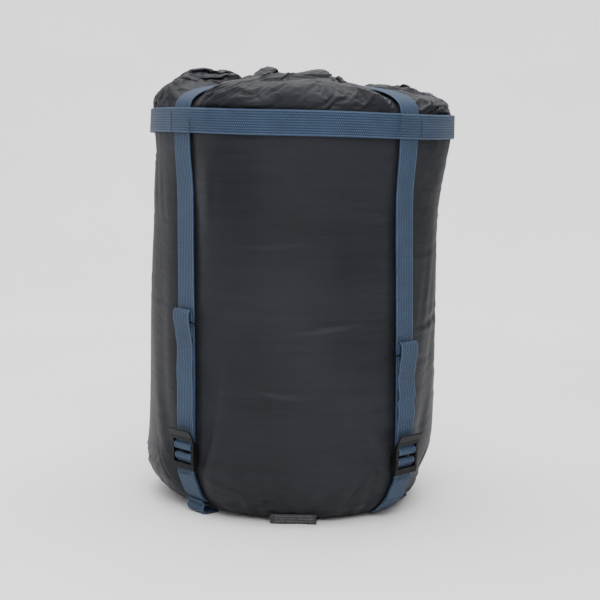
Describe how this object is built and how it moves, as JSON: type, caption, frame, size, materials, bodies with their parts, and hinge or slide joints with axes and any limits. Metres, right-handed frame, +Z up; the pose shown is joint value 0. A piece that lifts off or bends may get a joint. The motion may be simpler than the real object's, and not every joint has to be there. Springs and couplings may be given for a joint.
{
  "type": "compression stuff sack",
  "caption": "Round fabric stuff sack with a gathered drawcord mouth, a webbing compression harness, ladder-lock buckles and pull loops.",
  "frame": {"origin": "middle of the base, on the surface that the sack stands on", "axes": "+Z up towards the mouth, -Y towards the front with the care label"},
  "size_m": [0.3232, 0.3232, 0.4527],
  "materials": {
    "shell_fabric": "tight charcoal plain-weave nylon with a soft sheen",
    "binding_tape": "matt woven seam tape",
    "webbing": "ribbed slate-blue polypropylene webbing",
    "drawcord": "black braided cord",
    "black_plastic": "black moulded acetal, satin",
    "spring_steel": "bright spring wire",
    "keeper_rubber": "black elastomer, slightly glossy",
    "thread": "dark bonded thread",
    "label": "black woven satin label, blank"
  },
  "bodies": {
    "sack": {"side_wall": "shell_fabric", "base_panel": "shell_fabric", "base_seam_binding": "binding_tape", "anchor_bartacks": "thread", "care_label": "label", "grab_loop": "webbing", "leg_front_left": "webbing", "leg_front_right": "webbing", "leg_back_right": "webbing", "leg_back_left": "webbing", "anchor_base_front_left": "webbing", "anchor_base_front_right": "webbing", "anchor_base_back_right": "webbing", "anchor_base_back_left": "webbing", "tail_front_left": "webbing", "tail_front_right": "webbing", "tail_back_right": "webbing", "tail_back_left": "webbing"},
    "shoulder": {"collar": "shell_fabric", "drawcord_channel": "shell_fabric", "drawcord": "drawcord", "cord_end_knot": "drawcord", "shoulder_band": "webbing", "top_strap_lower": "webbing", "top_strap_upper": "webbing", "shoulder_bartacks": "thread", "top_cross_bartack": "thread"},
    "buckle_front_left": {"buckle_front_left": "black_plastic", "anchor_loop_front_left": "webbing", "strap_turn_front_left": "webbing"},
    "pull_front_left": {"pull_loop_front_left": "webbing", "keeper_front_left": "keeper_rubber"},
    "buckle_front_right": {"buckle_front_right": "black_plastic", "anchor_loop_front_right": "webbing", "strap_turn_front_right": "webbing"},
    "pull_front_right": {"pull_loop_front_right": "webbing", "keeper_front_right": "keeper_rubber"},
    "buckle_back_right": {"buckle_back_right": "black_plastic", "anchor_loop_back_right": "webbing", "strap_turn_back_right": "webbing"},
    "pull_back_right": {"pull_loop_back_right": "webbing", "keeper_back_right": "keeper_rubber"},
    "buckle_back_left": {"buckle_back_left": "black_plastic", "anchor_loop_back_left": "webbing", "strap_turn_back_left": "webbing"},
    "pull_back_left": {"pull_loop_back_left": "webbing", "keeper_back_left": "keeper_rubber"},
    "cord_lock": {"cord_lock_barrel": "black_plastic", "cord_lock_spring": "spring_steel"},
    "lock_plunger": {"cord_lock_plunger": "black_plastic"}
  },
  "joints": [
    {"name": "compress", "type": "slide", "parent": "sack", "child": "shoulder", "axis": [0, 0, -1], "range_m": [0, 0.06], "deforming": ["side_wall", "leg_front_left", "leg_front_right", "leg_back_right", "leg_back_left"]},
    {"name": "buckle_lift_front_left", "type": "hinge", "parent": "sack", "child": "buckle_front_left", "pos_m": [-0.10911, -0.10911, 0.046], "axis": [0.7071, -0.7071, 0], "range_deg": [0, 35]},
    {"name": "tail_pull_front_left", "type": "slide", "parent": "sack", "child": "pull_front_left", "axis": [-0.0494, 0.0494, 0.9976], "range_m": [0, 0.06], "deforming": ["tail_front_left"]},
    {"name": "buckle_lift_front_right", "type": "hinge", "parent": "sack", "child": "buckle_front_right", "pos_m": [0.10911, -0.10911, 0.046], "axis": [0.7071, 0.7071, 0], "range_deg": [0, 35]},
    {"name": "tail_pull_front_right", "type": "slide", "parent": "sack", "child": "pull_front_right", "axis": [-0.0494, -0.0494, 0.9976], "range_m": [0, 0.06], "deforming": ["tail_front_right"]},
    {"name": "buckle_lift_back_right", "type": "hinge", "parent": "sack", "child": "buckle_back_right", "pos_m": [0.10911, 0.10911, 0.046], "axis": [-0.7071, 0.7071, 0], "range_deg": [0, 35]},
    {"name": "tail_pull_back_right", "type": "slide", "parent": "sack", "child": "pull_back_right", "axis": [0.0494, -0.0494, 0.9976], "range_m": [0, 0.06], "deforming": ["tail_back_right"]},
    {"name": "buckle_lift_back_left", "type": "hinge", "parent": "sack", "child": "buckle_back_left", "pos_m": [-0.10911, 0.10911, 0.046], "axis": [-0.7071, -0.7071, 0], "range_deg": [0, 35]},
    {"name": "tail_pull_back_left", "type": "slide", "parent": "sack", "child": "pull_back_left", "axis": [0.0494, 0.0494, 0.9976], "range_m": [0, 0.06], "deforming": ["tail_back_left"]},
    {"name": "cord_lock_slide", "type": "slide", "parent": "shoulder", "child": "cord_lock", "axis": [0, 0.9544, 0.2985], "range_m": [0, 0.007]},
    {"name": "plunger_press", "type": "slide", "parent": "cord_lock", "child": "lock_plunger", "axis": [-1, 0, 0], "range_m": [0, 0.003], "stiffness_N_per_m": 300, "springref_m": -0.002, "deforming": ["cord_lock_spring"]}
  ],
  "couplings": [
    {"joint": "tail_pull_front_left", "follows": "compress", "ratio": 1},
    {"joint": "tail_pull_front_right", "follows": "compress", "ratio": 1},
    {"joint": "tail_pull_back_right", "follows": "compress", "ratio": 1},
    {"joint": "tail_pull_back_left", "follows": "compress", "ratio": 1}
  ]
}
